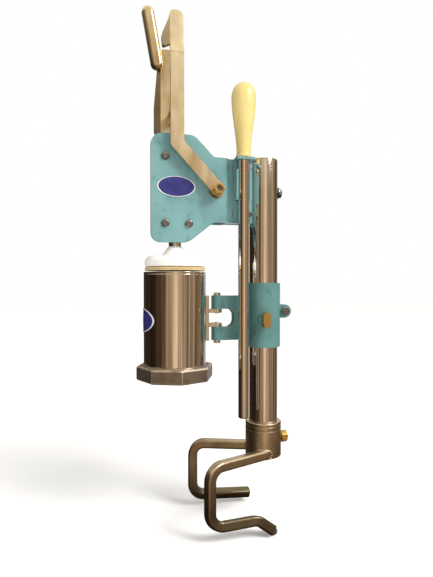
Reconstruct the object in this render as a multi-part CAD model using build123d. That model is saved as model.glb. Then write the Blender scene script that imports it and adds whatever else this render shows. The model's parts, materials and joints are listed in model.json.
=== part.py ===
from build123d import *
import os
from math import acos, cos, pi, radians, sin, tan

# Lever dough press on a column with table hooks.  Millimetres, +Z up.
# Origin: column axis at the plane where the foot rests on the table.
# The barrel hangs on the -X side, and -Y is the front.

# ---- driving dimensions ----
RUN = 0.05  # radial clearance of a running fit
SLACK = 0.4  # radial clearance of a loose guide

COLUMN_R = 19.0
COLUMN_WALL = 2.0
COLUMN_TOP = 395.0

COLLAR_WALL = 5.0
COLLAR_TOP = 46.5
COLLAR_FLOOR = 5.0
FOOT_SCREW_R = 4.0
FOOT_SCREW_Z = 22.0

HOOK_BAR = 12.5
HOOK_CORNER = 3.2
HOOK_START = (6.0, 16.0)
HOOK_REACH = 87.0
HOOK_SPREAD = 50.0
HOOK_MOUTH = 60.5
HOOK_BEND = 17.0
HOOK_END = 3.0
HOOK_DIP = 6.0
CREST = (-26.0, 3.0)  # from the hook's lower corner height
TIP = (-6.0, -12.0)
TIP_SCREW_R = 2.5

BARREL_X = -121.0
BARREL_R = 40.0
BARREL_WALL = 1.2
BARREL_BOTTOM = 116.0
BARREL_TOP = 246.0
BADGE = (24.5, 13.0)  # half axes of the badge on the head
BARREL_BADGE = (25.7, 15.0)
BADGE_Z = 185.0
RING_NUT_WALL = 6.0
RING_NUT_BOTTOM = 109.0
RING_NUT_TOP = 127.0
RING_NUT_LIP = 4.0
OUTLET_EDGE = 7.0  # how far the ring nut's lip reaches in under the barrel
STAR_R = 13.0

PISTON_GAP = 0.8  # piston face above the barrel's mouth when the lever is up
PISTON_CLEARANCE = 0.3
PISTON_H = 20.5
PISTON_NECK_H = 11.5
SEAL_H = 5.0
PISTON_SCREW_R = 4.0
ROD_R = 8.0

HEAD_LEFT = -154.0
HEAD_TOP = 419.0
HEAD_BOTTOM = 283.0
HEAD_GAP = 22.0
PLATE = 5.0
REAR_INSET = 8.0
NECK_TOP = 393.0
NECK_BOTTOM = 310.0
NECK_GAP = 12.0
NECK_BEND_X = -57.0
GUIDE_BOLT_SPAN = 30.0
LOWER_BOLT_Z = 307.0
UPPER_BOLT_Z = 390.5
BLOCK_HALF = 26.0
GUIDE_BUSH_WALL = 2.0
BOLT_R = 3.0
NECK_BOLT_R = 4.0
NECK_BOLT_Z = 354.0
NECK_BOLT_END = -44.0
CLIP_SCREW_R = 2.0
SADDLE_SCREW_R = 2.5
SADDLE_EDGE = 12.0  # from the neck's edges to its screws

PIVOT_X = -70.5
PIVOT_Z = 350.0
SHAFT_R = 7.0
SHAFT_END_R = 3.8
PIVOT_NUT_FLATS = 12.5
PIVOT_NUT_H = 7.0
SPACER_RISE = 99.0  # of the spacer between the arms above the pivot
SPACER_PIN_R = 4.0
BUSH_WALL = 2.5
LEVER_SWING = 85.0
SECTOR_TEETH = 36  # teeth of the full circle
SECTOR_T = 12.0
BACKLASH = 0.2
PRESSURE_ANGLE = radians(20)

ARM_GAP = 45.0  # between the inner faces of the two lever arms
ARM_T = 5.0
STRAP_W = 16.5
ELBOW = (-122.5, 405.0)
ARM_W = 17.0
ARM_BEND_Z = 517.0
JOG_H = 11.0
JOG_LEAN = 18.0
FLANGE_OUT = 11.0
FLANGE_IN = 11.0
NEAR_TIP_Z = 571.0
HEEL = 5.0  # how much further left the rear arm's face reaches
EDGE = 7.5
FAR_TOP_Z = 541.0
FAR_GRIP_START = (-141.0, 521.0)
FAR_TIP = (-152.5, 586.0)
GRIP_W = 16.0
GRIP_T = 14.0
GRIP_LEAN = 4.0

SLEEVE_WALL = 3.6
SLEEVE_BOTTOM = 147.0
SLEEVE_TOP = 232.0
FORK_T = 13.0
FORK_LOW = (157.0, 174.5)
FORK_HIGH = (198.0, 215.5)
HINGE_REACH = 16.0  # from the barrel's wall to the hinge pins
HINGE_PIN_R = 3.0
HINGE_TAB = 5.0
KNUCKLE_R = 7.5
EAR_REACH = 5.4
EAR_Z = 194.0
EAR_R = 9.0
EAR_HALF = 8.0
SLIT = 3.0
FORK_DEPTH = 22.0
FORK_CORNER = 9.0
THUMB_R = 4.0
THUMB_WING = (21.0, 9.5, 7.0)
THUMB_X = -7.0
THUMB_Z = 184.0

HAND_ROD_R = 6.9
HAND_ROD_GAP = 9.1  # between the column and the hand rod, seen from the front
HAND_ROD_BOTTOM = 57.0
HANDLE_H = 97.0
CLIP_T = 2.5
CLIP_Z = (339.0, 378.0)

# ---- sizes that follow from the ones above ----
COLUMN_IN = COLUMN_R - COLUMN_WALL
COLLAR_R = COLUMN_R + COLLAR_WALL
SLEEVE_R = COLUMN_R + SLEEVE_WALL
EAR_X = SLEEVE_R + EAR_REACH
RING_NUT_FLATS = 2 * (BARREL_R + RING_NUT_WALL)
OUTLET_R = BARREL_R - OUTLET_EDGE
HINGE_X = BARREL_X + BARREL_R + HINGE_REACH
FORK_ROOT_X = HINGE_X + FORK_DEPTH
HAND_ROD_X = -(COLUMN_R + HAND_ROD_GAP + HAND_ROD_R)
THUMB_SEAT = SLEEVE_R + 3
HOOK_LOW = -HOOK_MOUTH - HOOK_BAR / 2
MODULE = 2 * ((PIVOT_X - BARREL_X - ROD_R) / (1 - 2 / SECTOR_TEETH)) / SECTOR_TEETH
PITCH_R = MODULE * SECTOR_TEETH / 2
PITCH_LINE_X = PIVOT_X - PITCH_R
TOOTH_TIP = 0.96 * MODULE
TOOTH_ROOT = 1.25 * MODULE
STROKE = PITCH_R * radians(LEVER_SWING)
SWEEP_R = PITCH_R + MODULE + 2
PLATE_OUT = HEAD_GAP / 2 + PLATE
NECK_OUT = NECK_GAP / 2 + PLATE
ARM_IN = ARM_GAP / 2
ARM_OUT = ARM_IN + ARM_T
ARM_LEFT = ELBOW[0] - ARM_W / 2
ARM_RIGHT = ELBOW[0] + ARM_W / 2
ARM_LOW = ELBOW[1] - 6
PISTON_R = BARREL_R - BARREL_WALL - PISTON_CLEARANCE
CLAMP_PLATE_R = PISTON_R - 6
PISTON_Z = BARREL_TOP + PISTON_GAP
ROD_TOP = PIVOT_Z + STROKE + 2.2 * MODULE
HAND_ROD_Y = -(NECK_OUT + CLIP_T + SLACK + 0.4 + HAND_ROD_R)
BOLT_XS = (BARREL_X - GUIDE_BOLT_SPAN / 2, BARREL_X + GUIDE_BOLT_SPAN / 2)
SADDLE_SCREW_ZS = (NECK_BOTTOM + SADDLE_EDGE, NECK_TOP - SADDLE_EDGE)

parts = {}


# ---- shared shapes ----
def block(x, y, z):
    """A box from three (low, high) pairs."""
    size = [high - low for low, high in (x, y, z)]
    return Pos(*[(low + high) / 2 for low, high in (x, y, z)]) * Box(*size)


def upright(radius, low, high, x=0.0, y=0.0):
    return Pos(x, y, (low + high) / 2) * Cylinder(radius, high - low)


def across(radius, low, high, x, z):
    """A cylinder along Y."""
    return Pos(x, (low + high) / 2, z) * Rot(90, 0, 0) * Cylinder(radius, high - low)


def lengthwise(radius, low, high, z, y=0.0):
    """A cylinder along X."""
    return Pos((low + high) / 2, y, z) * Rot(0, 90, 0) * Cylinder(radius, high - low)


def slab(face, low, high):
    """A face drawn in X and Z, made solid between two values of Y."""
    return extrude(Plane.XZ.offset(-high) * face, amount=high - low)


def rounded(points, radii):
    """A closed outline with a radius at each corner."""
    face = make_face(Polyline(*points, close=True))
    for point, radius in zip(points, radii):
        if radius:
            corner = face.vertices().sort_by_distance((*point, 0))[0]
            face = fillet(corner, radius)
    return face


def stadium(start, end, width):
    """A straight bar with round ends, drawn in a plane."""
    run = Vector(*end) - Vector(*start)
    middle = (Vector(*start) + Vector(*end)) / 2
    angle = Vector(1, 0).get_signed_angle(run, Vector(0, 0, 1))
    bar = Pos(middle.X, middle.Y) * Rot(0, 0, angle) * Rectangle(run.length, width)
    for point in (start, end):
        bar += Pos(*point) * Circle(width / 2)
    return bar


def back(shape):
    """The same piece on the other side of the centre plane."""
    return mirror(shape, about=Plane.XZ)


def prism(flats, height, sides=6):
    """A regular prism standing on the XY plane."""
    corner = flats / 2 / cos(pi / sides)
    return extrude(RegularPolygon(corner, sides), amount=height)


# ---- column and foot ----
def column():
    span = (COLLAR_FLOOR, COLUMN_TOP)
    tube = upright(COLUMN_R, *span) - upright(COLUMN_IN, *span)
    tube -= lengthwise(NECK_BOLT_R, -2 * COLUMN_R, 2 * COLUMN_R, NECK_BOLT_Z)
    tube -= lengthwise(FOOT_SCREW_R + SLACK, 0, 2 * COLUMN_R, FOOT_SCREW_Z)
    parts["column_tube"] = tube
    dome = upright(COLUMN_R, COLUMN_TOP, COLUMN_TOP + 3)
    dome = fillet(dome.edges().group_by(Axis.Z)[-1], 2.5)
    parts["column_top_plug"] = dome + upright(COLUMN_IN, COLUMN_TOP - 14, COLUMN_TOP)
    bolt = lengthwise(NECK_BOLT_R, NECK_BOLT_END, COLUMN_R, NECK_BOLT_Z)
    bolt += lengthwise(2 * NECK_BOLT_R, COLUMN_R, COLUMN_R + 2, NECK_BOLT_Z)
    head = Pos(COLUMN_R + 2, 0, NECK_BOLT_Z) * Rot(0, 90, 0) * prism(11, 4)
    parts["neck_through_bolt"] = bolt + head


def foot():
    body = upright(COLLAR_R, 0, COLLAR_TOP)
    body = chamfer(body.edges().group_by(Axis.Z)[-1], 1.5)
    body -= upright(COLUMN_R, COLLAR_FLOOR, COLLAR_TOP)
    for z in (COLLAR_TOP - 5, COLLAR_TOP - 11):
        groove = upright(COLLAR_R + 1, z, z + 1.6) - upright(COLLAR_R - 0.8, z, z + 1.6)
        body -= groove
    body -= lengthwise(FOOT_SCREW_R + RUN, COLUMN_R - 1, COLLAR_R + 1, FOOT_SCREW_Z)
    parts["foot_collar"] = body
    seat = COLLAR_R + 1
    shank = lengthwise(FOOT_SCREW_R, COLUMN_IN + 1, seat, FOOT_SCREW_Z)
    head = Pos(seat, 0, FOOT_SCREW_Z) * Rot(0, 90, 0) * prism(14.5, 8)
    end = lengthwise(FOOT_SCREW_R, seat + 8, seat + 10.5, FOOT_SCREW_Z)
    parts["foot_set_screw"] = shank + head + chamfer(end.edges().group_by(Axis.X)[-1], 1)


def bent_path(points, radius):
    """Straight runs through the points, joined by arcs of one radius."""
    points = [Vector(*p) for p in points]
    edges = []
    start = points[0]
    for before, corner, after in zip(points, points[1:], points[2:]):
        u = (before - corner).normalized()
        v = (after - corner).normalized()
        half = radians(u.get_angle(v)) / 2
        centre = corner + (u + v).normalized() * (radius / sin(half))
        first = corner + u * (radius / tan(half))
        last = corner + v * (radius / tan(half))
        middle = centre + (corner - centre).normalized() * radius
        edges += [Line(start, first), ThreePointArc(first, middle, last)]
        start = last
    edges.append(Line(start, points[-1]))
    return Wire(edges)


def hook(side, ending):
    """One table hook: out from the collar, down past the table's edge, back under it."""
    y = side * HOOK_SPREAD
    route = [
        (HOOK_START[0], side * HOOK_START[1], HOOK_BAR / 2),
        (-HOOK_REACH, y, HOOK_BAR / 2),
        (-HOOK_REACH, y, HOOK_LOW),
    ]
    path = bent_path(route + [(x, y, HOOK_LOW + rise) for x, rise in ending], HOOK_BEND)
    section = Plane(origin=path @ 0, z_dir=path % 0) * RectangleRounded(HOOK_BAR, HOOK_BAR, HOOK_CORNER)
    return sweep(section, path=path) - upright(COLLAR_R, -1, COLLAR_TOP)


def hooks():
    aim = Vector(TIP[0] - CREST[0], 0, TIP[1] - CREST[1]).normalized()
    at_tip = Plane(origin=(TIP[0], -HOOK_SPREAD, HOOK_LOW + TIP[1]), z_dir=aim)
    from_below = (Align.CENTER, Align.CENTER, Align.MIN)
    front = hook(-1, [CREST, TIP])
    front -= at_tip * Pos(0, 0, -12) * Cylinder(TIP_SCREW_R + RUN, 14, align=from_below)
    parts["front_hook"] = front
    rear = hook(1, [(-HOOK_END, -HOOK_DIP)])
    tip = rear.faces().filter_by(GeomType.PLANE).sort_by(Axis.X)[-1]
    parts["rear_hook"] = fillet(tip.edges(), HOOK_BAR / 5)
    screw = Pos(0, 0, -10) * Cylinder(TIP_SCREW_R, 16, align=from_below)
    screw += Pos(0, 0, 0.8) * Cylinder(1.6 * TIP_SCREW_R, 4, align=from_below)
    parts["hook_tip_screw"] = at_tip * screw


# ---- head ----
def head_outline(inset):
    left, top, bottom = HEAD_LEFT + inset, HEAD_TOP - inset, HEAD_BOTTOM + inset
    right = -COLUMN_R - 1
    shoulder = PIVOT_X - 2.5
    points = [
        (left, top),
        (shoulder - (HEAD_TOP - NECK_TOP), top),
        (shoulder, NECK_TOP),
        (right, NECK_TOP),
        (right, NECK_BOTTOM),
        (shoulder, NECK_BOTTOM),
        (shoulder - 1.25 * (NECK_BOTTOM - HEAD_BOTTOM), bottom),
        (left, bottom),
    ]
    return rounded(points, [15, 16, 4, 2, 2, 6, 22, 12])


def head_plate(inset):
    """A side plate of the head, stepped inwards at the neck."""
    out, gap = PLATE_OUT, HEAD_GAP / 2
    step = NECK_BEND_X + PLATE_OUT - NECK_OUT
    plan = Polyline(
        (HEAD_LEFT - 1, -out),
        (NECK_BEND_X, -out),
        (step, -NECK_OUT),
        (0, -NECK_OUT),
        (0, -NECK_GAP / 2),
        (step - 2, -NECK_GAP / 2),
        (NECK_BEND_X - 2, -gap),
        (HEAD_LEFT - 1, -gap),
        close=True,
    )
    sheet = extrude(Pos(0, 0, HEAD_BOTTOM - 1) * make_face(plan), amount=HEAD_TOP - HEAD_BOTTOM + 2)
    plate = sheet & slab(head_outline(inset), -out, 0)
    plate -= across(SHAFT_R + BUSH_WALL, -out, 0, PIVOT_X, PIVOT_Z)
    for x in BOLT_XS:
        for z in (LOWER_BOLT_Z, UPPER_BOLT_Z):
            plate -= across(BOLT_R, -out, 0, x, z)
    for z in SADDLE_SCREW_ZS:
        plate -= saddle_screw(z)
    return plate


def saddle_screw(z):
    """A countersunk screw from the front into the neck block."""
    x = NECK_BEND_X + 14
    screw = across(SADDLE_SCREW_R, -NECK_OUT, -1, x, z)
    cone = Pos(x, -NECK_OUT + 1.5, z) * Rot(90, 0, 0) * Cone(SADDLE_SCREW_R, 2 * SADDLE_SCREW_R, 3)
    return screw + cone


def head():
    front, rear = head_plate(0), head_plate(REAR_INSET)
    for x, z in clip_screw_places():
        front -= across(CLIP_SCREW_R, -NECK_OUT, -NECK_GAP / 2, x, z)
    parts["head_front_plate"] = front
    parts["head_rear_plate"] = back(rear)

    thick, tall = (-NECK_GAP / 2, NECK_GAP / 2), (NECK_BOTTOM + 2, NECK_TOP - 2)
    neck = block((NECK_BEND_X + 8, -COLUMN_R + 4), thick, tall) - upright(COLUMN_R, NECK_BOTTOM, NECK_TOP)
    neck -= lengthwise(NECK_BOLT_R, NECK_BOLT_END, 0, NECK_BOLT_Z)
    screws = [saddle_screw(z) for z in SADDLE_SCREW_ZS]
    for screw in screws:
        neck -= screw + back(screw)
    for x, z in clip_screw_places():
        neck -= across(CLIP_SCREW_R, -NECK_GAP / 2, -1, x, z)
    parts["neck_block"] = neck
    parts["neck_screws"] = Compound(screws + [back(s) for s in screws])

    sweep_space = across(SWEEP_R, -HEAD_GAP, HEAD_GAP, PIVOT_X, PIVOT_Z)
    spans = {
        "rod_guide_block": (HEAD_BOTTOM + REAR_INSET, LOWER_BOLT_Z + 8),
        "upper_spacer_block": (UPPER_BOLT_Z - 9, UPPER_BOLT_Z + 9),
    }
    for name, (low, high) in spans.items():
        thick = (-HEAD_GAP / 2, HEAD_GAP / 2)
        body = block((BARREL_X - BLOCK_HALF + 4, BARREL_X + BLOCK_HALF), thick, (low, high))
        body = (body & slab(head_outline(REAR_INSET), *thick)) - sweep_space
        hole = ROD_R + (GUIDE_BUSH_WALL if name == "rod_guide_block" else 3 * SLACK)
        body -= upright(hole, low, high, BARREL_X)
        for x in BOLT_XS:
            for z in (LOWER_BOLT_Z, UPPER_BOLT_Z):
                body -= across(BOLT_R, -HEAD_GAP, HEAD_GAP, x, z)
        parts[name] = body
    low, high = spans["rod_guide_block"]
    bush = upright(ROD_R + GUIDE_BUSH_WALL, low - 4, high, BARREL_X)
    parts["rod_guide_bush"] = bush - upright(ROD_R + RUN, low - 4, high, BARREL_X)

    bolts, nuts = [], []
    for x in BOLT_XS:
        for z in (LOWER_BOLT_Z, UPPER_BOLT_Z):
            cap = across(5, -PLATE_OUT - 3, -PLATE_OUT, x, z)
            cap = fillet(cap.edges().group_by(Axis.Y)[0], 1.8)
            bolts.append(cap + across(BOLT_R, -PLATE_OUT, PLATE_OUT + 5, x, z))
            nut = Pos(x, PLATE_OUT, z) * Rot(-90, 0, 0) * prism(10, 4)
            nuts.append(nut - across(BOLT_R, PLATE_OUT - 1, PLATE_OUT + 6, x, z))
    parts["head_bolts"] = Compound(bolts)
    parts["head_nuts"] = Compound(nuts)

    bush = across(SHAFT_R + BUSH_WALL, -PLATE_OUT - 1.5, -HEAD_GAP / 2, PIVOT_X, PIVOT_Z)
    bush -= across(SHAFT_R + RUN, -PLATE_OUT - 2, 0, PIVOT_X, PIVOT_Z)
    parts["pivot_bushes"] = Compound([bush, back(bush)])
    badge = slab(Pos(BARREL_X - 1, PIVOT_Z + 3) * Ellipse(*BADGE), -PLATE_OUT - 1, -PLATE_OUT)
    parts["head_badge"] = badge


# ---- lever, sector and rack ----
def involute(angle):
    return tan(angle) - angle


def sector_outline():
    """The toothed sector, drawn about the pivot with its first working tooth pointing at the rod."""
    base = PITCH_R * cos(PRESSURE_ANGLE)
    half = (pi * MODULE / 2 - BACKLASH) / 2 / PITCH_R
    root, tip = PITCH_R - TOOTH_ROOT, PITCH_R + TOOTH_TIP
    radii = [base + (tip - base) * k / 4 for k in range(5)]
    step = 2 * pi / SECTOR_TEETH
    teeth = int(LEVER_SWING / 360 * SECTOR_TEETH) + 2
    points = [(0, 0)]
    for tooth in range(teeth):
        middle = pi + step * (1 - tooth)
        flank = [(r, half + involute(PRESSURE_ANGLE) - involute(acos(min(1, base / r)))) for r in radii]
        flank = [(root, flank[0][1] + 0.008)] + flank
        rising = [(r, middle + a) for r, a in flank]
        falling = [(r, middle - a) for r, a in reversed(flank)]
        points += [(r * cos(a), r * sin(a)) for r, a in rising + falling]
    return Pos(PIVOT_X, PIVOT_Z) * make_face(Polyline(*points, close=True))


def sector():
    disc = slab(sector_outline(), -SECTOR_T / 2, SECTOR_T / 2)
    hub = across(SHAFT_R + 4, -HEAD_GAP / 2 + 0.5, HEAD_GAP / 2 - 0.5, PIVOT_X, PIVOT_Z)
    parts["sector_gear"] = disc + hub - across(SHAFT_R, -30, 30, PIVOT_X, PIVOT_Z)


def piston_rod():
    body = upright(ROD_R, PISTON_Z + SEAL_H + 1, ROD_TOP, BARREL_X)
    body = chamfer(body.edges().group_by(Axis.Z)[-1], 1.2)
    pitch = pi * MODULE
    half = pitch / 4 + BACKLASH / 2
    outer, inner = MODULE + 1, TOOTH_ROOT
    gaps = int((ROD_TOP - PIVOT_Z) / pitch) + 2
    for k in range(-1, gaps):
        z = PIVOT_Z + k * pitch
        wide = half + outer * tan(PRESSURE_ANGLE)
        thin = half - inner * tan(PRESSURE_ANGLE)
        space = Polyline(
            (PITCH_LINE_X + outer, z - wide),
            (PITCH_LINE_X + outer, z + wide),
            (PITCH_LINE_X - inner, z + thin),
            (PITCH_LINE_X - inner, z - thin),
            close=True,
        )
        body -= slab(make_face(space), -ROD_R - 1, ROD_R + 1)
    return body


def bent_strip(section, outline, radii):
    """A pressed strip: a section in X and Y run upwards, cut to an outline seen from the front."""
    heights = [z for x, z in outline]
    face = make_face(Polyline(*section, close=True))
    bar = extrude(Pos(0, 0, min(heights)) * face, amount=max(heights) - min(heights))
    return bar & slab(rounded(outline, radii), -2 * ARM_OUT, 0)


def strap():
    return slab(stadium((PIVOT_X, PIVOT_Z), ELBOW, STRAP_W), -ARM_OUT, -ARM_IN)


def near_arm():
    """The front arm: flat strap, a jog backwards, then a grip with a flange turned back on the left."""
    flat = block((ARM_LEFT, ARM_RIGHT), (-ARM_OUT, -ARM_IN), (ARM_LOW, ARM_BEND_Z))
    flat = fillet(flat.edges().filter_by(Axis.Y).group_by(Axis.Z)[0], 5)
    hinge = Pos(0, -ARM_OUT, ARM_BEND_Z)
    to_hinge = Pos(0, ARM_OUT, -ARM_BEND_Z)
    jog = block((ARM_LEFT, ARM_RIGHT), (-ARM_OUT, -ARM_IN), (ARM_BEND_Z - 1, ARM_BEND_Z + JOG_H))
    jog = hinge * Rot(-JOG_LEAN, 0, 0) * to_hinge * jog
    inside = -ARM_IN - 1
    section = [
        (ARM_RIGHT, -ARM_OUT),
        (ARM_LEFT, -ARM_OUT),
        (ARM_LEFT - FLANGE_OUT, -ARM_OUT + FLANGE_IN),
        (ARM_LEFT - FLANGE_OUT + 3, -ARM_OUT + FLANGE_IN + 3),
        (ARM_LEFT + 2, inside),
        (ARM_RIGHT, inside),
    ]
    base, top = ARM_BEND_Z - 1, NEAR_TIP_Z - JOG_H
    outline = [
        (ARM_RIGHT, base),
        (ARM_LEFT - 0.7 * FLANGE_OUT, base),
        (ARM_LEFT - 0.9 * FLANGE_OUT, base + 14),
        (ARM_LEFT - 1, top - 10),
        (ARM_LEFT + 1, top),
        (ARM_RIGHT, top),
    ]
    grip = bent_strip(section, outline, [0, 3, 16, 8, 6, 8])
    lean = radians(JOG_LEAN)
    shift = Pos(0, JOG_H * sin(lean), JOG_H * cos(lean))
    return strap() + flat + jog + shift * hinge * Rot(-GRIP_LEAN, 0, 0) * to_hinge * grip


def far_arm():
    """The rear arm, drawn in front: a strap with an edge turned outwards, and a thick leaning grip."""
    heel, edge = ARM_LEFT - HEEL, ARM_LEFT - HEEL - EDGE
    section = [
        (ARM_RIGHT, -ARM_IN),
        (heel, -ARM_IN),
        (edge, -ARM_IN - EDGE),
        (edge, -ARM_OUT - EDGE),
        (heel + 1, -ARM_OUT),
        (ARM_RIGHT, -ARM_OUT),
    ]
    outline = [
        (ARM_RIGHT, ARM_LOW),
        (ARM_LEFT, ARM_LOW),
        (edge - 0.5, ARM_LOW + 36),
        (edge, ARM_LOW + 68),
        (heel - 3, FAR_TOP_Z - 16),
        (heel + 1, FAR_TOP_Z),
        (ARM_RIGHT, FAR_TOP_Z),
    ]
    plate = bent_strip(section, outline, [5, 4, 16, 30, 6, 5, 6])
    bar = slab(stadium(FAR_GRIP_START, FAR_TIP, GRIP_W), -ARM_OUT - 3, -ARM_OUT - 3 + GRIP_T)
    sides = bar.edges().filter_by(GeomType.LINE).filter_by(Axis.Y, reverse=True)
    bar = fillet(sides + bar.edges().filter_by(GeomType.CIRCLE), GRIP_T / 2 - 1.6)
    return strap() + plate + bar


def lever():
    spacer = (ELBOW[0], PIVOT_Z + SPACER_RISE)
    blind = ARM_IN + 3
    drill = across(SPACER_PIN_R, -blind, blind, *spacer)
    drill += across(SHAFT_END_R, -2 * ARM_OUT, 2 * ARM_OUT, PIVOT_X, PIVOT_Z)
    parts["front_lever_arm"] = near_arm() - drill
    parts["rear_lever_arm"] = back(far_arm()) - drill
    tube = across(SPACER_PIN_R + 2.5, -ARM_IN, ARM_IN, *spacer)
    parts["lever_spacer_tube"] = tube - across(SPACER_PIN_R, -blind, blind, *spacer)
    parts["lever_spacer_pin"] = across(SPACER_PIN_R, -blind, blind, *spacer)
    shaft = across(SHAFT_R, -ARM_IN, ARM_IN, PIVOT_X, PIVOT_Z)
    parts["pivot_shaft"] = shaft + across(SHAFT_END_R, -ARM_OUT - 3, ARM_OUT + 3, PIVOT_X, PIVOT_Z)
    nut = Pos(PIVOT_X, -ARM_OUT, PIVOT_Z) * Rot(90, 0, 0) * prism(PIVOT_NUT_FLATS, PIVOT_NUT_H)
    nut -= across(SHAFT_END_R, -ARM_OUT - PIVOT_NUT_H, -ARM_OUT, PIVOT_X, PIVOT_Z)
    parts["pivot_nuts"] = Compound([nut, back(nut)])


def piston():
    plate_top = PISTON_Z + SEAL_H + 1
    profile = [
        (0, plate_top),
        (PISTON_R - 4, plate_top),
        (PISTON_R - 4, plate_top + 0.2),
        (PISTON_R, plate_top + 0.2),
        (PISTON_R, PISTON_Z + PISTON_H - 6),
        (PISTON_R - 4, PISTON_Z + PISTON_H - 1.5),
        (ROD_R + 8, PISTON_Z + PISTON_H),
        (ROD_R + 0.5, PISTON_Z + PISTON_H + PISTON_NECK_H),
        (0, PISTON_Z + PISTON_H + PISTON_NECK_H),
    ]
    face = rounded(profile, [0, 0, 0, 0.8, 3, 3, 3, 0, 0])
    crown = revolve(Pos(BARREL_X, 0, 0) * (Plane.XZ * face), Axis((BARREL_X, 0, 0), (0, 0, 1)))
    screw = upright(PISTON_SCREW_R, PISTON_Z + 2, PISTON_Z + 26, BARREL_X)
    parts["piston_rod"] = piston_rod() - screw
    parts["piston_head"] = crown - parts["piston_rod"] - screw
    seal = upright(PISTON_R, PISTON_Z + 0.8, PISTON_Z + SEAL_H, BARREL_X)
    lip = upright(PISTON_R - 4, PISTON_Z + SEAL_H, plate_top, BARREL_X)
    parts["piston_seal"] = seal + lip - upright(CLAMP_PLATE_R, 0, plate_top, BARREL_X)
    washer = upright(CLAMP_PLATE_R, PISTON_Z + 2, plate_top, BARREL_X)
    parts["seal_clamp_plate"] = washer - upright(PISTON_SCREW_R, 0, plate_top, BARREL_X)
    parts["piston_screw"] = screw + Pos(BARREL_X, 0, PISTON_Z) * prism(12, 2)


# ---- barrel and its bracket ----
def barrel():
    tube = upright(BARREL_R, BARREL_BOTTOM, BARREL_TOP, BARREL_X)
    parts["barrel_tube"] = tube - upright(BARREL_R - BARREL_WALL, BARREL_BOTTOM, BARREL_TOP, BARREL_X)
    span = (BARREL_BOTTOM, BARREL_TOP, BARREL_X)
    shell = upright(BARREL_R + 1, *span) - upright(BARREL_R, *span)
    oval = Pos(BARREL_X - BARREL_R, 0, BADGE_Z) * (Plane.YZ * Ellipse(*BARREL_BADGE))
    parts["barrel_badge"] = shell & extrude(oval, amount=20, both=True)

    wall_x = BARREL_X + BARREL_R
    leaf = block((wall_x - 4, wall_x + 3), (-9, 9), (FORK_LOW[0], FORK_HIGH[1]))
    pins = []
    for face, way in ((FORK_LOW[1], 1), (FORK_HIGH[0], -1)):
        low, high = sorted((face + way * RUN, face + way * HINGE_TAB))
        leaf += block((wall_x, HINGE_X), (-KNUCKLE_R + 2, KNUCKLE_R - 2), (low, high))
        leaf += upright(KNUCKLE_R - 1, low, high, HINGE_X)
        outer = FORK_LOW[0] if way > 0 else FORK_HIGH[1]
        low, high = sorted((outer, face + way * (HINGE_TAB + 1)))
        cap = sorted((outer, outer - way * 4))
        pins.append(upright(HINGE_PIN_R, low, high, HINGE_X) + upright(1.5 * HINGE_PIN_R, *cap, HINGE_X))
    leaf -= upright(BARREL_R, BARREL_BOTTOM, BARREL_TOP, BARREL_X)
    parts["barrel_hinge_leaf"] = leaf - upright(HINGE_PIN_R + RUN, BARREL_BOTTOM, BARREL_TOP, HINGE_X)
    parts["barrel_hinge_pins"] = Compound(pins)


def ring_nut():
    body = Pos(BARREL_X, 0, RING_NUT_BOTTOM) * prism(RING_NUT_FLATS, RING_NUT_TOP - RING_NUT_BOTTOM, 8)
    body = chamfer(body.edges().group_by(Axis.Z)[-1], 1.5)
    body = chamfer(body.edges().group_by(Axis.Z)[0], 1.5)
    seat = RING_NUT_BOTTOM + RING_NUT_LIP
    body -= upright(BARREL_R + RUN, seat, RING_NUT_TOP, BARREL_X)
    body -= upright(OUTLET_R, 0, seat, BARREL_X)
    parts["ring_nut"] = body
    die = upright(BARREL_R - 0.5, seat, BARREL_BOTTOM - 0.05, BARREL_X)
    star = [
        (r * cos(pi * k / 6), r * sin(pi * k / 6))
        for k in range(12)
        for r in [STAR_R if k % 2 else STAR_R * 0.6]
    ]
    cut = extrude(Pos(BARREL_X, 0, seat - 1) * make_face(Polyline(*star, close=True)), amount=10)
    parts["die_plate"] = die - cut


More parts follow.
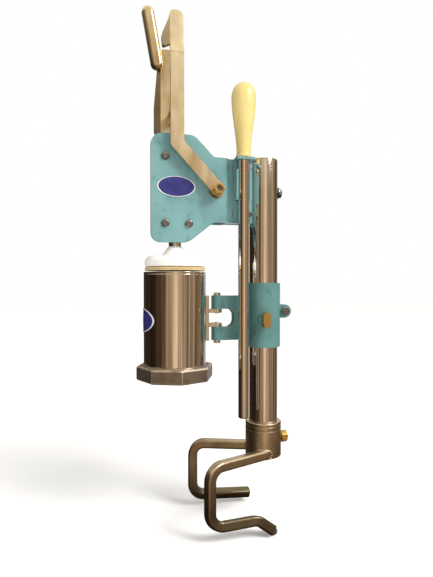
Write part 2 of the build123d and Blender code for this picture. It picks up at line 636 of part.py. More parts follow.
def bracket():
    body = upright(SLEEVE_R, SLEEVE_BOTTOM, SLEEVE_TOP)
    thick = (-FORK_T / 2, FORK_T / 2)
    low, high = FORK_LOW[0], FORK_HIGH[1]
    web = block((HINGE_X, 0), thick, (low, high)) + upright(KNUCKLE_R, low, high, HINGE_X)
    mouth = [
        (HINGE_X - 2 * KNUCKLE_R, FORK_LOW[1]),
        (FORK_ROOT_X, FORK_LOW[1]),
        (FORK_ROOT_X, FORK_HIGH[0]),
        (HINGE_X - 2 * KNUCKLE_R, FORK_HIGH[0]),
    ]
    body += web - slab(rounded(mouth, [0, FORK_CORNER, FORK_CORNER, 0]), -2 * FORK_T, 2 * FORK_T)
    body += slab(stadium((0, EAR_Z), (EAR_X, EAR_Z), 2 * EAR_R), -EAR_HALF, EAR_HALF)
    body += across(2 * THUMB_R, -THUMB_SEAT, 0, THUMB_X, THUMB_Z)
    body -= upright(COLUMN_R + RUN, 0, COLUMN_TOP)
    body -= block((0, 3 * COLUMN_R), (-SLIT / 2, SLIT / 2), (SLEEVE_BOTTOM, SLEEVE_TOP))
    body -= across(BOLT_R, -2 * EAR_HALF, 2 * EAR_HALF, EAR_X, EAR_Z)
    body -= across(THUMB_R + RUN, -2 * COLUMN_R, 0, THUMB_X, THUMB_Z)
    body -= upright(HINGE_PIN_R, 0, COLUMN_TOP, HINGE_X)
    parts["column_bracket"] = body
    bolt = across(BOLT_R, -EAR_HALF, EAR_HALF + 6, EAR_X, EAR_Z)
    parts["bracket_clamp_bolt"] = bolt + Pos(EAR_X, -EAR_HALF, EAR_Z) * Rot(90, 0, 0) * prism(10, 4.5)
    nut = Pos(EAR_X, EAR_HALF, EAR_Z) * Rot(-90, 0, 0) * prism(10, 5)
    parts["bracket_clamp_nut"] = nut - across(BOLT_R, 0, 2 * EAR_HALF + 6, EAR_X, EAR_Z)
    seat = THUMB_SEAT + 1
    screw = across(THUMB_R, -seat, -COLUMN_R - SLACK, THUMB_X, THUMB_Z)
    face = Rot(0, 0, 90) * SlotOverall(THUMB_WING[0], THUMB_WING[1])
    wing = Pos(THUMB_X, -seat, THUMB_Z) * Rot(90, 0, 0) * extrude(face, amount=THUMB_WING[2])
    front = seat + THUMB_WING[2]
    wing -= block((THUMB_X - 0.8, THUMB_X + 0.8), (-front, 1.6 - front), (THUMB_Z - 6, THUMB_Z + 6))
    parts["bracket_thumb_screw"] = screw + wing


# ---- hand rod and its clip ----
def clip_screw_places():
    return [(HAND_ROD_X + 10.5, z) for z in (NECK_BOTTOM + SADDLE_EDGE, NECK_TOP - 10)]


def hand_rod():
    x, y, r = HAND_ROD_X, HAND_ROD_Y, HAND_ROD_R
    shelf = block((x - 11, x + 13), (y - 9, -NECK_OUT), (NECK_TOP - 3, NECK_TOP))
    plate = block((x - 11, x + 13), (-NECK_OUT - CLIP_T, -NECK_OUT), (NECK_BOTTOM + 5, NECK_TOP))
    body = plate + shelf
    inner = r + SLACK
    for side in (-1, 1):
        wall = sorted((x + side * inner, x + side * (inner + CLIP_T)))
        body += block(wall, (y - 2, -NECK_OUT), CLIP_Z)
    body -= upright(inner, NECK_BOTTOM, NECK_TOP, x, y)
    for sx, sz in clip_screw_places():
        body -= across(CLIP_SCREW_R, -2 * NECK_OUT, 0, sx, sz)
    parts["rod_clip"] = body
    screws = []
    for sx, sz in clip_screw_places():
        cap = across(3.5, -NECK_OUT - CLIP_T - 2, -NECK_OUT - CLIP_T, sx, sz)
        screws.append(cap + across(CLIP_SCREW_R, -NECK_OUT - CLIP_T, -1.5, sx, sz))
    parts["clip_screws"] = Compound(screws)

    base = NECK_TOP + 0.1
    rod = upright(r, HAND_ROD_BOTTOM, base + HANDLE_H * 0.7, x, y)
    parts["hand_rod"] = chamfer(rod.edges().group_by(Axis.Z)[0], 1.5)
    profile = Spline(
        (10.4, base + 1.5),
        (9.2, base + 13),
        (11.5, base + 38),
        (15.8, base + 78),
        (0, base + HANDLE_H),
        tangents=((-0.3, 1), (-1, 0)),
    )
    outline = make_face(
        Curve() + [profile, Polyline((0, base + HANDLE_H), (0, base), (10.4, base), (10.4, base + 1.5))]
    )
    knob = revolve(Plane.XZ * outline, Axis.Z)
    parts["rod_handle"] = Pos(x, y, 0) * knob - upright(r, 0, base + HANDLE_H * 0.7, x, y)


column()
foot()
hooks()
head()
sector()
lever()
piston()
barrel()
ring_nut()
bracket()
hand_rod()

os.makedirs("parts", exist_ok=True)
for name, shape in parts.items():
    export_step(shape, f"parts/{name}.step")
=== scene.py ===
import json
import math

import bmesh
import bpy
from mathutils import Matrix, Vector, noise

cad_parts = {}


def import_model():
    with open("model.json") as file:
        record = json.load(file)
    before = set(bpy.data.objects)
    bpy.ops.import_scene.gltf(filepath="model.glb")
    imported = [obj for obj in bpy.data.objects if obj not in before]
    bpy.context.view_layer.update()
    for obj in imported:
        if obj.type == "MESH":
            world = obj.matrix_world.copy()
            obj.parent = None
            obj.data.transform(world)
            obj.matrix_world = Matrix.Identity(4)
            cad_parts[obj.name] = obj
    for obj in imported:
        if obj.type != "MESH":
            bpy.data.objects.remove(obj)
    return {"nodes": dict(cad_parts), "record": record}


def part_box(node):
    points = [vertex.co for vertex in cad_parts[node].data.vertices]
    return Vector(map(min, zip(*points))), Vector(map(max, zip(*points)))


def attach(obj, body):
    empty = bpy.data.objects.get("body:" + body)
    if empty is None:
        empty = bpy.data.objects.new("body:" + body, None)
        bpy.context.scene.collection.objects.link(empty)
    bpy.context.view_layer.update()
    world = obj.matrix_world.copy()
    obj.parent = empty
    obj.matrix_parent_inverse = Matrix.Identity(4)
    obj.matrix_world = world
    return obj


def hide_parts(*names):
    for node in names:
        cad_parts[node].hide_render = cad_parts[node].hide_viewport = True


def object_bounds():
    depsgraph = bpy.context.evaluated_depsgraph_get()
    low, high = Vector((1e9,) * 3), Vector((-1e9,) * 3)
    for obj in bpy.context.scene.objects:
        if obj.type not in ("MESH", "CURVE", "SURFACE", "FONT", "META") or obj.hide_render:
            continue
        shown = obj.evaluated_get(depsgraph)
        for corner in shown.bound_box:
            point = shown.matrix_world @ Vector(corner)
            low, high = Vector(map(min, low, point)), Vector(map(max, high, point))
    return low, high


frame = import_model()
CAD_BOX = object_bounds()
NODES = frame["nodes"]
RECORD = frame["record"]
BODY_OF = {node: body for body, members in RECORD["behaviour"]["bodies"].items() for node in members}
SLOT_OF = {part["node"]: part["material_slot"] for part in RECORD["subparts"]}
MM = 0.001

# ---- camera, at the height of the barrel's mouth and a little to the barrel's side ----
CAMERA_AZIMUTH = math.radians(-15.0)
CAMERA_DISTANCE = 0.650
CAMERA_ASIDE = -0.0634
CAMERA_HEIGHT = 0.232
CAMERA_PITCH = math.radians(-0.66)
LENS_MM = 39.9
SENSOR_MM = 36.0

# ---- sizes of what is only looked at ----
TURNED_STEPS = 160  # faces around a turned piece
SMOOTH_BELOW = math.radians(38)
HOOK_ROOT = (0.006, 0.016)  # where a hook's bar starts inside the collar
WELD_RADIUS = 1.5 * MM
COLUMN_WALL = 2 * MM
BARREL_WALL = 1.2 * MM
BADGE_DOME = 1 * MM
BADGE_STEPS = 96  # points around a badge
BADGE_RIM = 0.93  # share of the radius where the raised rim ends

# ---- light ----
SOFT_LIGHT = 0.60
SUN_LIGHT = 2.2
SUN_FROM = (0.75, -0.95, 1.45)
SUN_WIDTH = math.radians(38)
SUN_COLOUR = (1.0, 0.97, 0.93)
KEY_FROM = (0.75, -0.95, 1.15)
KEY_WATTS = 12
FILL_FROM = (-1.2, -0.9, 0.5)
FILL_WATTS = 3
LIT_MIDDLE = (-0.07, 0, 0.26)  # the point that the lights aim at
FLOOR_SIDE = 12
FLOOR_GAP = 0.001  # below the object's lowest point


# ---- small helpers for node materials ----
class Shader:
    """A material under construction: adds nodes and links by short calls."""

    def __init__(self, name, **sockets):
        self.material = bpy.data.materials.new(name)
        self.material.use_nodes = True
        self.tree = self.material.node_tree
        self.bsdf = self.tree.nodes["Principled BSDF"]
        self.set(**sockets)
        self.coordinates = self.tree.nodes.new("ShaderNodeTexCoord").outputs["Object"]

    def set(self, **sockets):
        for key, value in sockets.items():
            socket = self.bsdf.inputs[key.replace("_", " ")]
            socket.default_value = (*value, 1.0) if socket.type == "RGBA" else value

    def node(self, kind, inputs=None, **properties):
        made = self.tree.nodes.new("ShaderNode" + kind)
        for key, value in properties.items():
            setattr(made, key, value)
        for key, value in (inputs or {}).items():
            if isinstance(value, bpy.types.NodeSocket):
                self.tree.links.new(value, made.inputs[key])
            else:
                made.inputs[key].default_value = value
        return made

    def stretched(self, scale):
        return self.node("Mapping", {"Vector": self.coordinates, "Scale": scale}).outputs["Vector"]

    def noise(self, scale, detail=4.0, stretch=(1, 1, 1), rough=0.5):
        inputs = {"Vector": self.stretched(stretch), "Scale": scale, "Detail": detail, "Roughness": rough}
        return self.node("TexNoise", inputs).outputs["Fac"]

    def cells(self, scale, stretch=(1, 1, 1)):
        inputs = {"Vector": self.stretched(stretch), "Scale": scale}
        return self.node("TexVoronoi", inputs).outputs["Distance"]

    def attribute(self, name):
        return self.node("Attribute", attribute_name=name).outputs["Fac"]

    def math(self, operation, first, second):
        return self.node("Math", {0: first, 1: second}, operation=operation).outputs[0]

    def levels(self, value, low, high, out_low=0.0, out_high=1.0):
        inputs = {"Value": value, "From Min": low, "From Max": high, "To Min": out_low, "To Max": out_high}
        return self.node("MapRange", inputs).outputs["Result"]

    def mix(self, factor, first, second):
        inputs = {0: factor, 6: (*first, 1.0) if isinstance(first, tuple) else first}
        inputs[7] = (*second, 1.0) if isinstance(second, tuple) else second
        return self.node("Mix", inputs, data_type="RGBA").outputs[2]

    def link(self, output, socket):
        self.tree.links.new(output, self.bsdf.inputs[socket])

    def bump(self, height, strength, distance=0.001):
        inputs = {"Height": height, "Strength": strength, "Distance": distance}
        made = self.node("Bump", inputs)
        if self.bsdf.inputs["Normal"].is_linked:
            self.tree.links.new(self.bsdf.inputs["Normal"].links[0].from_socket, made.inputs["Normal"])
        self.link(made.outputs["Normal"], "Normal")


def chrome():
    """Bright plate over a drawn tube: faint lengthwise draw marks, haze and a few pits."""
    s = Shader("chrome_plate", Metallic=1.0)
    haze = s.noise(14, 6, (1, 1, 0.25))
    s.link(s.mix(s.levels(haze, 0.35, 0.75), (0.90, 0.87, 0.83), (0.78, 0.72, 0.64)), "Base Color")
    s.link(s.levels(s.noise(60, 5), 0.3, 0.75, 0.03, 0.11), "Roughness")
    s.bump(s.noise(420, 3, (1, 1, 0.03)), 0.05, 0.0003)
    s.bump(s.levels(s.cells(160), 0.02, 0.10), 0.08, 0.0002)
    return s.material


def satin_nickel():
    """Brushed plate on the foot: tarnished in patches, with painted shade darkening it towards the hooks'
    lower ends.
    """
    s = Shader("satin_nickel", Metallic=1.0)
    wear = s.noise(35, 8)
    base = s.mix(s.levels(wear, 0.35, 0.7), (0.66, 0.56, 0.42), (0.44, 0.36, 0.25))
    height = s.node("SeparateXYZ", {0: s.coordinates}).outputs["Z"]
    # painted shade: the base colour darkens towards the bottom, where the hooks' undersides lie in shade
    base = s.mix(s.levels(height, 0.005, -0.05), base, (0.20, 0.17, 0.12))
    s.link(s.mix(s.levels(s.noise(160, 7, rough=0.7), 0.6, 0.72), base, (0.24, 0.18, 0.11)), "Base Color")
    s.link(s.levels(s.noise(90, 6), 0.3, 0.7, 0.26, 0.42), "Roughness")
    s.bump(s.noise(520, 4), 0.12, 0.0004)
    s.bump(s.noise(45, 3), 0.08, 0.0015)
    return s.material


def teal_enamel(name="teal_enamel", light=(0.165, 0.325, 0.330), dark=(0.115, 0.250, 0.260), grain=0.30):
    """Stove enamel: orange peel, cloudy tone, grime, and chips down to primer, mostly on the edges."""
    s = Shader(name, Coat_Weight=0.6, Coat_Roughness=0.10, Specular_IOR_Level=0.5)
    base = s.mix(s.levels(s.noise(20, 6), 0.3, 0.75), light, dark)
    grime = s.levels(s.noise(48, 8, rough=0.65), 0.54, 0.76)
    base = s.mix(grime, base, tuple(0.62 * c for c in dark))
    speck = s.levels(s.noise(170, 9, rough=0.72), 0.70, 0.72)
    edge = s.math("MULTIPLY", s.attribute("edge"), s.levels(s.noise(120, 6, rough=0.6), 0.50, 0.56))
    chips = s.math("MAXIMUM", speck, edge)
    s.link(s.mix(chips, base, (0.030, 0.034, 0.030)), "Base Color")
    s.link(s.levels(chips, 0, 1, 0.30, 0.6), "Roughness")
    s.bump(s.noise(210, 2), grain, 0.0006)
    s.bump(s.levels(chips, 0, 1, 1, 0), 0.3, 0.0003)
    return s.material


def lever_nickel():
    """Warm polished nickel on pressed arms: long polishing lines and small dents."""
    s = Shader("lever_nickel", Metallic=1.0)
    tone = s.noise(18, 5)
    base = s.mix(s.levels(tone, 0.38, 0.66), (0.95, 0.88, 0.68), (0.74, 0.60, 0.36))
    s.link(s.mix(s.levels(s.noise(130, 8, rough=0.7), 0.64, 0.74), base, (0.50, 0.38, 0.21)), "Base Color")
    s.link(s.levels(s.noise(120, 6, (1, 1, 0.2)), 0.3, 0.75, 0.26, 0.38), "Roughness")
    s.bump(s.noise(600, 3, (1, 1, 0.08)), 0.06, 0.0003)
    s.bump(s.noise(45, 2), 0.02, 0.001)
    return s.material


def zinc_steel():
    """Grey plated fasteners, a little oxidised."""
    s = Shader("zinc_steel", Metallic=1.0)
    s.link(s.mix(s.levels(s.noise(160, 6), 0.35, 0.7), (0.40, 0.42, 0.45), (0.20, 0.21, 0.24)), "Base Color")
    s.link(s.levels(s.noise(300, 4), 0.3, 0.7, 0.22, 0.42), "Roughness")
    s.bump(s.noise(900, 2), 0.1, 0.0003)
    return s.material


def brass():
    """Turned brass with brown tarnish in patches."""
    s = Shader("turned_brass", Metallic=1.0)
    s.link(s.mix(s.levels(s.noise(90, 6), 0.40, 0.72), (0.95, 0.68, 0.24), (0.50, 0.30, 0.08)), "Base Color")
    s.link(s.levels(s.noise(210, 4), 0.3, 0.7, 0.18, 0.36), "Roughness")
    s.bump(s.noise(800, 2), 0.1, 0.0003)
    return s.material


def tumbled_alloy():
    """Dull cast ring nut with a fine grain; its bevelled edges are lighter in patches, partly rubbed wear
    and partly a painted highlight.
    """
    s = Shader("tumbled_alloy", Metallic=0.9)
    base = s.mix(s.levels(s.noise(60, 8), 0.35, 0.7), (0.40, 0.33, 0.27), (0.25, 0.20, 0.16))
    # painted highlight and rubbed wear: a lighter colour on the bevelled edge faces, broken up by noise
    rubbed_and_highlit = s.math("MULTIPLY", s.attribute("edge"), s.levels(s.noise(90, 5), 0.35, 0.55))
    s.link(s.mix(rubbed_and_highlit, base, (0.72, 0.62, 0.54)), "Base Color")
    s.link(s.levels(s.noise(180, 6), 0.3, 0.7, 0.34, 0.50), "Roughness")
    s.bump(s.noise(340, 6), 0.25, 0.0005)
    return s.material


def white_nylon():
    """Turned nylon: fine lathe rings and a faint yellowing."""
    s = Shader("white_nylon", Subsurface_Weight=0.15, Subsurface_Scale=0.004)
    s.set(Subsurface_Radius=(1.0, 0.9, 0.75))
    s.link(s.mix(s.levels(s.noise(30, 5), 0.35, 0.75), (0.86, 0.84, 0.81), (0.76, 0.73, 0.68)), "Base Color")
    s.link(s.levels(s.noise(120, 3), 0.3, 0.7, 0.28, 0.42), "Roughness")
    s.bump(s.noise(900, 1, (0.05, 0.05, 1)), 0.12, 0.0004)
    return s.material


def cream_seal():
    """Food rubber, matt and slightly stained."""
    s = Shader("cream_seal", Subsurface_Weight=0.1, Subsurface_Scale=0.003)
    s.link(s.mix(s.levels(s.noise(50, 5), 0.35, 0.7), (0.60, 0.47, 0.25), (0.48, 0.35, 0.16)), "Base Color")
    s.link(s.levels(s.noise(200, 3), 0.3, 0.7, 0.4, 0.55), "Roughness")
    s.bump(s.noise(700, 3), 0.15, 0.0003)
    return s.material


def cream_handle():
    """Glossy moulded handle with cloudy yellowing."""
    s = Shader("cream_handle", Coat_Weight=0.35, Coat_Roughness=0.08, Subsurface_Weight=0.15)
    s.set(Subsurface_Scale=0.004, Subsurface_Radius=(1.0, 0.8, 0.4))
    clouds = s.levels(s.noise(26, 6, (1, 1, 0.4)), 0.35, 0.75)
    s.link(s.mix(clouds, (0.72, 0.57, 0.235), (0.58, 0.43, 0.14)), "Base Color")
    s.link(s.levels(s.noise(140, 4), 0.3, 0.7, 0.24, 0.36), "Roughness")
    s.bump(s.noise(320, 2), 0.06, 0.0005)
    return s.material


def badge_enamel():
    """Dark blue enamel inside a pale rim; the rim is marked on the mesh."""
    s = Shader("badge_enamel", Coat_Weight=0.8, Coat_Roughness=0.05)
    field = s.mix(s.levels(s.noise(60, 4), 0.3, 0.7), (0.012, 0.014, 0.105), (0.024, 0.030, 0.17))
    s.link(s.mix(s.attribute("rim"), field, (0.62, 0.62, 0.64)), "Base Color")
    s.link(s.levels(s.noise(300, 2), 0.3, 0.7, 0.18, 0.28), "Roughness")
    return s.material


MATERIALS = {
    "chrome": chrome(),
    "satin_nickel": satin_nickel(),
    "teal_paint": teal_enamel(),
    "lever_metal": lever_nickel(),
    "bright_steel": zinc_steel(),
    "brass": brass(),
    "nut_alloy": tumbled_alloy(),
    "white_nylon": white_nylon(),
    "cream_seal": cream_seal(),
    "cream_plastic": cream_handle(),
    "badge_enamel": badge_enamel(),
}


CAST_PAINT = teal_enamel("teal_on_casting", (0.095, 0.225, 0.220), (0.065, 0.165, 0.160), 0.45)


# ---- pieces ----
def dress_nodes():
    """Gives every CAD node the finish of its slot."""
    for node, slot in SLOT_OF.items():
        mesh = NODES[node].data
        mesh.materials.clear()
        mesh.materials.append(MATERIALS[slot])


def piece_from(bm, name, body, slot, *replaced):
    """Turns a bmesh into a piece with a finish and a body, standing for the CAD nodes it replaces."""
    bmesh.ops.recalc_face_normals(bm, faces=bm.faces)
    mesh = bpy.data.meshes.new(name)
    bm.to_mesh(mesh)
    bm.free()
    mesh.shade_smooth()
    mesh.set_sharp_from_angle(angle=SMOOTH_BELOW)
    mesh.materials.append(MATERIALS[slot])
    piece = bpy.data.objects.new(name, mesh)
    bpy.context.scene.collection.objects.link(piece)
    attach(piece, body)
    if replaced:
        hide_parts(*replaced)
    return piece


def softened(node, width, segments=3, angle=30.0):
    """A CAD node's shape with its sharp edges rounded; the rounded faces carry an edge mark for wear and for
    painted edge highlights.
    """
    bm = bmesh.new()
    bm.from_mesh(NODES[node].data)
    mark = bm.faces.layers.float.new("edge")
    bmesh.ops.remove_doubles(bm, verts=bm.verts, dist=1e-6)
    bmesh.ops.dissolve_limit(bm, angle_limit=math.radians(0.6), verts=bm.verts, edges=bm.edges)
    limit = math.radians(angle)
    sharp = [e for e in bm.edges if len(e.link_faces) == 2 and e.calc_face_angle(0) > limit]
    rounded = bmesh.ops.bevel(
        bm, geom=sharp, offset=width, segments=segments, profile=0.5, affect="EDGES", clamp_overlap=True
    )
    for face in rounded["faces"]:
        face[mark] = 1.0
    piece = piece_from(bm, node + "_shell", BODY_OF[node], SLOT_OF[node], node)
    if "custom_normal" in piece.data.attributes:
        piece.data.attributes.remove(piece.data.attributes["custom_normal"])
    weighted = piece.modifiers.new("weighted", "WEIGHTED_NORMAL")
    weighted.keep_sharp = True
    return piece


def arc_corners(points, steps=5):
    """A profile of (radius, height, fillet) points with each fillet drawn as an arc."""
    out = []
    for k, (r, z, size) in enumerate(points):
        corner = Vector((r, z))
        if not size or k in (0, len(points) - 1):
            out.append(corner)
            continue
        before = (Vector(points[k - 1][:2]) - corner).normalized()
        after = (Vector(points[k + 1][:2]) - corner).normalized()
        half = before.angle(after) / 2
        reach = size / math.tan(half)
        centre = corner + (before + after).normalized() * (size / math.sin(half))
        first = corner + before * reach - centre
        last = corner + after * reach - centre
        turn = first.angle_signed(last)
        for step in range(steps + 1):
            spin = Matrix.Rotation(-turn * step / steps, 2)
            out.append(centre + spin @ first)
    return out


def turned(node, points, closed=False):
    """A piece turned about a vertical axis through its CAD node's middle; points are in metres."""
    low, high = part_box(node)
    x, y = (low.x + high.x) / 2, (low.y + high.y) / 2
    profile = arc_corners(points)
    bm = bmesh.new()
    rings = []
    for r, z in profile:
        if r < 1e-7:
            rings.append([bm.verts.new((x, y, z))])
            continue
        turns = [2 * math.pi * k / TURNED_STEPS for k in range(TURNED_STEPS)]
        rings.append([bm.verts.new((x + r * math.cos(a), y + r * math.sin(a), z)) for a in turns])
    pairs = list(zip(rings, rings[1:] + rings[:1] if closed else rings[1:]))
    for first, second in pairs:
        for k in range(TURNED_STEPS):
            corners = [first[k % len(first)], first[(k + 1) % len(first)]]
            corners += [second[(k + 1) % len(second)], second[k % len(second)]]
            unique = list(dict.fromkeys(corners))
            if len(unique) > 2:
                bm.faces.new(unique)
    return piece_from(bm, node + "_turned", BODY_OF[node], SLOT_OF[node], node)


def column():
    """Tube with rounded lips, its domed plug, and the turned collar with two grooves."""
    low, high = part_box("column_tube")
    r, wall, lip = (high.x - low.x) / 2, COLUMN_WALL, 0.6 * MM
    tube = [(r - wall, low.z, 0), (r, low.z, lip), (r, high.z, lip), (r - wall, high.z, 0)]
    turned("column_tube", tube, closed=True)
    plug_low, plug_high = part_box("column_top_plug")
    top = plug_high.z
    crown = [(0, plug_low.z, 0), (r - wall, plug_low.z, 0), (r - wall, high.z, 0)]
    crown += [(r, high.z + 0.2 * MM, 0.2 * MM)]
    crown += [(r, top - 0.4 * MM, 2.2 * MM), (r * 0.8, top, 3 * MM), (0, top, 0)]
    turned("column_top_plug", crown)

    low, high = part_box("foot_collar")
    outer = (high.y - low.y) / 2
    top = high.z
    groove = 0.8 * MM
    outline = [(0, 0, 0), (outer, 0, 1.2 * MM)]
    for z in (top - 11 * MM, top - 5 * MM):
        outline += [(outer, z, 0.3 * MM), (outer - groove, z + 0.3 * MM, 0.2 * MM)]
        outline += [(outer - groove, z + 1.3 * MM, 0.2 * MM), (outer, z + 1.6 * MM, 0.3 * MM)]
    outline += [(outer, top, 1.5 * MM), (r, top, 0.3 * MM), (r, 5 * MM, 0), (0, 5 * MM, 0)]
    turned("foot_collar", outline)


def barrel():
    """Thin drawn tube with a rolled lip at the mouth and a bead where the ring nut ends."""
    low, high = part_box("barrel_tube")
    r, wall = (high.x - low.x) / 2, BARREL_WALL
    roll = 0.5 * MM
    tube = [
        (r - wall, low.z, 0),
        (r, low.z, 0.2 * MM),
        (r, high.z - 3.4 * MM, 0.3 * MM),
        (r - 0.35 * MM, high.z - 2.8 * MM, 0.3 * MM),
        (r, high.z - 2.2 * MM, 0.3 * MM),
        (r, high.z, roll),
        (r - wall, high.z, roll),
    ]
    turned("barrel_tube", tube, closed=True)


def piston():
    """White crown with a soft shoulder, and the rubber ring with its two lips."""
    low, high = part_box("piston_head")
    seal_low, seal_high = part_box("piston_seal")
    r, top, shoulder = (high.x - low.x) / 2, high.z, high.z - 11.5 * MM
    neck = 8.5 * MM
    crown = [
        (4 * MM, low.z, 0),
        (r, low.z, 0.6 * MM),
        (r, shoulder - 6.5 * MM, 3.0 * MM),
        (r - 4.5 * MM, shoulder - 1.5 * MM, 4.0 * MM),
        (neck + 8.0 * MM, shoulder, 3.5 * MM),
        (neck + 0.6 * MM, top - 1 * MM, 1.0 * MM),
        (neck, top, 0.4 * MM),
        (8 * MM, top, 0),
        (8 * MM, low.z + 20 * MM, 0),
        (4 * MM, low.z + 20 * MM, 0),
    ]
    turned("piston_head", crown, closed=True)
    inner = r - 6 * MM
    lips = [
        (inner, seal_low.z, 0),
        (r, seal_low.z, 0.5 * MM),
        (r, seal_low.z + 1.7 * MM, 0.4 * MM),
        (r - 0.7 * MM, seal_low.z + 2.1 * MM, 0.2 * MM),
        (r, seal_low.z + 2.5 * MM, 0.4 * MM),
        (r, seal_high.z - 1.0 * MM, 0.5 * MM),
        (r - 4 * MM, seal_high.z - 1.0 * MM, 0),
        (r - 4 * MM, seal_high.z, 0),
        (inner, seal_high.z, 0),
    ]
    turned("piston_seal", lips, closed=True)


def hand_rod():
    """Polished rod with a rounded end, and the moulded handle with a bead at its foot."""
    low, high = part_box("hand_rod")
    r = (high.x - low.x) / 2
    turned("hand_rod", [(0, low.z, 0), (r, low.z, 1.8 * MM), (r, high.z, 0), (0, high.z, 0)])
    low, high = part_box("rod_handle")
    r, foot, height = (high.x - low.x) / 2, low.z, high.z - low.z
    bulge = 0.80 * height
    outline = [(6.9 * MM, foot, 0), (10.0 * MM, foot, 0.6 * MM)]
    outline += [(10.4 * MM, foot + 2.2 * MM, 0.8 * MM)]
    outline += [(9.3 * MM, foot + 3.4 * MM, 0.4 * MM)]
    waist = 9.1 * MM
    for k in range(1, 25):
        t = k / 24
        swell = t * t * (3 - 2 * t)
        outline.append((waist + (r - waist) * swell, foot + 4 * MM + t * (bulge - 4 * MM), 0))
    for k in range(1, 17):
        a = math.pi / 2 * k / 16
        outline.append((r * math.cos(a), foot + bulge + (height - bulge) * math.sin(a), 0))
    turned("rod_handle", outline)


def badge(node, centre, across, up, axes, wrap=None):
    """A domed oval plate with a raised rim, flat or wrapped round a cylinder."""
    bm = bmesh.new()
    rim = bm.faces.layers.float.new("rim")
    back = [(k / 8, 0.0) for k in range(1, 8)]  # follows the seat, so it never cuts the wall behind it
    lip = [(1.0, 0.0), (0.995, 0.7), (0.97, 0.95), (0.945, 0.8), (BADGE_RIM, 0.45)]
    crown = [(BADGE_RIM * k / 8, 0.45 + 0.4 * (1 - (k / 8) ** 2)) for k in range(7, 0, -1)]
    heights = back + lip + crown
    rings = []
    for share, height in heights:
        ring = []
        for k in range(BADGE_STEPS):
            a = 2 * math.pi * k / BADGE_STEPS
            u, v = axes[0] * share * math.cos(a), axes[1] * share * math.sin(a)
            lift = BADGE_DOME * height
            if wrap:
                turn = math.asin(u / wrap)
                out = Vector((-math.cos(turn), -math.sin(turn), 0)) * (wrap + lift)
                point = centre + out + up * v
            else:
                point = centre + across * u + up * v + across.cross(up) * lift
            ring.append(bm.verts.new(point))
        rings.append(ring)
    for k, (first, second) in enumerate(zip(rings, rings[1:])):
        for j in range(BADGE_STEPS):
            following = (j + 1) % BADGE_STEPS
            face = bm.faces.new((first[j], first[following], second[following], second[j]))
            face[rim] = 1.0 if heights[k][0] > BADGE_RIM else 0.0
    bm.faces.new(rings[-1])
    bm.faces.new(list(reversed(rings[0])))
    piece_from(bm, node + "_plate", BODY_OF[node], SLOT_OF[node], node)


def badges():
    low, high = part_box("head_badge")
    middle = (low + high) / 2
    place = Vector((middle.x, high.y, middle.z))
    half = ((high.x - low.x) / 2, (high.z - low.z) / 2)
    badge("head_badge", place, Vector((1, 0, 0)), Vector((0, 0, 1)), half)
    low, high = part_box("barrel_badge")
    tube_low, tube_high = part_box("barrel_tube")
    r = (tube_high.x - tube_low.x) / 2
    centre = Vector((tube_low.x + r, 0, (low.z + high.z) / 2))
    half = ((high.y - low.y) / 2, (high.z - low.z) / 2)
    badge("barrel_badge", centre, Vector((0, 1, 0)), Vector((0, 0, 1)), half, wrap=r)


def weld_bead(name, side, bar, reach, spread, collar_r):
    """A lumpy fillet of weld where a hook's bar enters the collar."""
    start = Vector((HOOK_ROOT[0], side * HOOK_ROOT[1], bar / 2))
    run = (Vector((-reach, side * spread, bar / 2)) - start).normalized()
    beside = run.cross(Vector((0, 0, 1)))
    steps, around, half = 72, 10, bar / 2
    path = []
    for k in range(steps):
        a = 2 * math.pi * k / steps
        c, s = math.cos(a), math.sin(a)
        square = half / (abs(c) ** 4 + abs(s) ** 4) ** 0.25
        base = start + beside * (square * c) + Vector((0, 0, 1)) * (square * s)
        b = base.x * run.x + base.y * run.y
        c2 = base.x**2 + base.y**2 - collar_r**2
        along = -b + math.sqrt(max(b * b - c2 * (run.x**2 + run.y**2), 0)) / (run.x**2 + run.y**2)
        path.append(base + run * along)
    middle = sum(path, Vector()) / steps
    bm = bmesh.new()
    rings = []
    for k, point in enumerate(path):
        tangent = (path[(k + 1) % steps] - path[k - 1]).normalized()
        away = (point - middle).normalized()
        off = tangent.cross(away).normalized()
        lump = WELD_RADIUS * (1 + 0.35 * noise.noise(point * 420) + 0.18 * math.sin(k * 1.9))
        ring = []
        for j in range(around):
            a = 2 * math.pi * j / around
            spot = point + (away * math.cos(a) + off * math.sin(a)) * lump
            spot.z = max(spot.z, 0.05 * MM)
            ring.append(bm.verts.new(spot))
        rings.append(ring)
    for k in range(steps):
        for j in range(around):
            nxt = rings[(k + 1) % steps]
            bm.faces.new((rings[k][j], rings[k][(j + 1) % around], nxt[(j + 1) % around], nxt[j]))
    piece_from(bm, name, "frame", "satin_nickel")


def welds():
    low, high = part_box("front_hook")
    bar = high.z
    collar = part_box("foot_collar")[1].y
    reach, spread = -(low.x + bar / 2), -(low.y + bar / 2)
    for name, side in (("front_hook_weld", -1), ("rear_hook_weld", 1)):
        weld_bead(name, side, bar, reach, spread, collar)


SOFT_EDGES = {
    0.7 * MM: ("head_front_plate", "head_rear_plate", "neck_block"),
    0.8 * MM: ("column_bracket",),
    1.1 * MM: ("front_lever_arm", "rear_lever_arm"),
    1.3 * MM: ("ring_nut",),
    0.4 * MM: (
        "rod_clip",
        "barrel_hinge_leaf",
        "barrel_hinge_pins",
        "pivot_nuts",
        "foot_set_screw",
        "neck_through_bolt",
    ),
    0.5 * MM: (
        "bracket_thumb_screw",
        "bracket_clamp_bolt",
        "bracket_clamp_nut",
        "head_nuts",
        "rod_guide_block",
    ),
    0.3 * MM: ("clip_screws", "hook_tip_screw", "upper_spacer_block"),
}


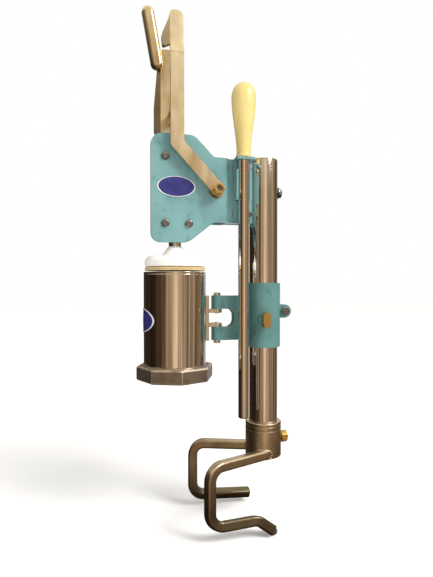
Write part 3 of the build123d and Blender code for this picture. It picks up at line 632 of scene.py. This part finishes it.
# ---- studio ----
def world():
    """White to the eye, soft light on the object, and a warm dark room with streaks in its gloss."""
    made = bpy.data.worlds.new("studio")
    made.use_nodes = True
    tree = made.node_tree
    tree.nodes.clear()

    def node(kind, inputs=None, **properties):
        new = tree.nodes.new("ShaderNode" + kind)
        for key, value in properties.items():
            setattr(new, key, value)
        for key, value in (inputs or {}).items():
            if isinstance(value, bpy.types.NodeSocket):
                tree.links.new(value, new.inputs[key])
            else:
                new.inputs[key].default_value = value
        return new

    def maths(operation, first, second=0.0):
        return node("Math", {0: first, 1: second}, operation=operation).outputs[0]

    way = node("SeparateXYZ", {0: node("TexCoord").outputs["Generated"]})
    turn = maths("DIVIDE", maths("ARCTAN2", way.outputs["Y"], way.outputs["X"]), 2 * math.pi)
    front = (CAMERA_AZIMUTH - math.pi / 2) / (2 * math.pi)
    share = maths("FRACT", maths("ADD", turn, 1.5 - front))
    walls = node("ValToRGB", {"Fac": share})
    ramp = walls.color_ramp
    stops = [
        (0.00, (0.22, 0.15, 0.09)),
        (0.08, (0.03, 0.020, 0.012)),
        (0.28, (0.018, 0.011, 0.007)),
        (0.37, (0.06, 0.035, 0.018)),
        (0.45, (0.27, 0.185, 0.105)),
        (0.53, (0.60, 0.44, 0.29)),
        (0.60, (0.30, 0.21, 0.135)),
        (0.74, (0.21, 0.14, 0.085)),
        (0.86, (0.05, 0.032, 0.018)),
        (1.00, (0.22, 0.15, 0.09)),
    ]
    for k, (place, colour) in enumerate(stops):
        stop = ramp.elements[0] if k == 0 else ramp.elements.new(place)
        stop.position = place
        stop.color = (*colour, 1)
    upright = maths("MULTIPLY", way.outputs["Z"], 0.35)
    lines = node("CombineXYZ", {0: maths("MULTIPLY", share, 26.0), 1: upright})
    fine = node("TexNoise", {"Vector": lines.outputs[0], "Scale": 1.0, "Detail": 3.0, "Roughness": 0.6})
    spread = {"From Min": 0.36, "From Max": 0.66, "To Min": 0.35, "To Max": 2.1}
    gain = node("MapRange", {"Value": fine.outputs["Fac"], **spread})
    streaked = node("VectorMath", {0: walls.outputs["Color"], 3: gain.outputs["Result"]}, operation="SCALE")
    rise = node("MapRange", {"Value": way.outputs["Z"], "From Min": 0.30, "From Max": 0.75})
    above = {0: rise.outputs["Result"], 6: streaked.outputs[0], 7: (0.95, 0.86, 0.68, 1)}
    ceiling = node("Mix", above, data_type="RGBA")
    sink = node("MapRange", {"Value": way.outputs["Z"], "From Min": -0.35, "From Max": -0.8})
    below = {0: sink.outputs["Result"], 6: ceiling.outputs[2], 7: (0.05, 0.032, 0.018, 1)}
    room = node("Mix", below, data_type="RGBA")
    ray = node("LightPath")
    gloss = node("Background", {"Color": room.outputs[2], "Strength": 1.0})
    soft = node("Background", {"Color": (1.0, 0.985, 0.96, 1), "Strength": SOFT_LIGHT})
    white = node("Background", {"Color": (1, 1, 1, 1), "Strength": 1.0})
    first = node("MixShader", {0: ray.outputs["Is Glossy Ray"], 1: soft.outputs[0], 2: gloss.outputs[0]})
    last = node("MixShader", {0: ray.outputs["Is Camera Ray"], 1: first.outputs[0], 2: white.outputs[0]})
    node("OutputWorld", {"Surface": last.outputs[0]})
    bpy.context.scene.world = made


def area_light(name, place, aim, size, watts, colour=(1, 1, 1)):
    data = bpy.data.lights.new(name, "AREA")
    data.shape = "RECTANGLE"
    data.size, data.size_y = size
    data.energy = watts
    data.color = colour
    lamp = bpy.data.objects.new(name, data)
    lamp.location = place
    lamp.rotation_euler = (Vector(aim) - Vector(place)).to_track_quat("-Z", "Y").to_euler()
    bpy.context.scene.collection.objects.link(lamp)
    return lamp


def studio():
    low = min(p[2] for p in CAD_BOX)
    bpy.ops.mesh.primitive_plane_add(size=FLOOR_SIDE, location=(0, 0, low - FLOOR_GAP))
    floor = bpy.context.object
    floor.name = "studio_floor"
    s = Shader("pale_floor", Roughness=0.9, Specular_IOR_Level=0.1)
    s.link(s.mix(s.noise(3, 2), (0.99, 0.99, 0.99), (0.97, 0.97, 0.97)), "Base Color")
    floor.data.materials.append(s.material)
    floor.visible_glossy = False
    world()
    sun = bpy.data.lights.new("sun", "SUN")
    sun.energy = SUN_LIGHT
    sun.angle = SUN_WIDTH
    sun.color = SUN_COLOUR
    lamp = bpy.data.objects.new("sun", sun)
    lamp.rotation_euler = (Vector(LIT_MIDDLE) - Vector(SUN_FROM)).to_track_quat("-Z", "Y").to_euler()
    lamp.visible_glossy = False
    bpy.context.scene.collection.objects.link(lamp)
    area_light("key", KEY_FROM, LIT_MIDDLE, (0.5, 0.5), KEY_WATTS, (1.0, 0.97, 0.92))
    area_light("fill", FILL_FROM, LIT_MIDDLE, (0.9, 0.9), FILL_WATTS).visible_glossy = False
    bpy.context.scene.view_settings.view_transform = "Standard"


def camera():
    a = CAMERA_AZIMUTH
    ahead = Vector((-math.sin(a), math.cos(a), 0))
    aside = Vector((math.cos(a), math.sin(a), 0))
    data = bpy.data.cameras.new("camera")
    data.sensor_fit = "HORIZONTAL"
    data.sensor_width = SENSOR_MM
    data.lens = LENS_MM
    view = bpy.data.objects.new("camera", data)
    view.location = -CAMERA_DISTANCE * ahead + CAMERA_ASIDE * aside + Vector((0, 0, CAMERA_HEIGHT))
    look = ahead * math.cos(CAMERA_PITCH) + Vector((0, 0, math.sin(CAMERA_PITCH)))
    view.rotation_euler = look.to_track_quat("-Z", "Y").to_euler()
    bpy.context.scene.collection.objects.link(view)
    bpy.context.scene.camera = view


dress_nodes()
column()
barrel()
piston()
hand_rod()
badges()
welds()
for width, nodes in SOFT_EDGES.items():
    for node in nodes:
        softened(node, width)
bpy.data.objects["column_bracket_shell"].data.materials[0] = CAST_PAINT
studio()
camera()
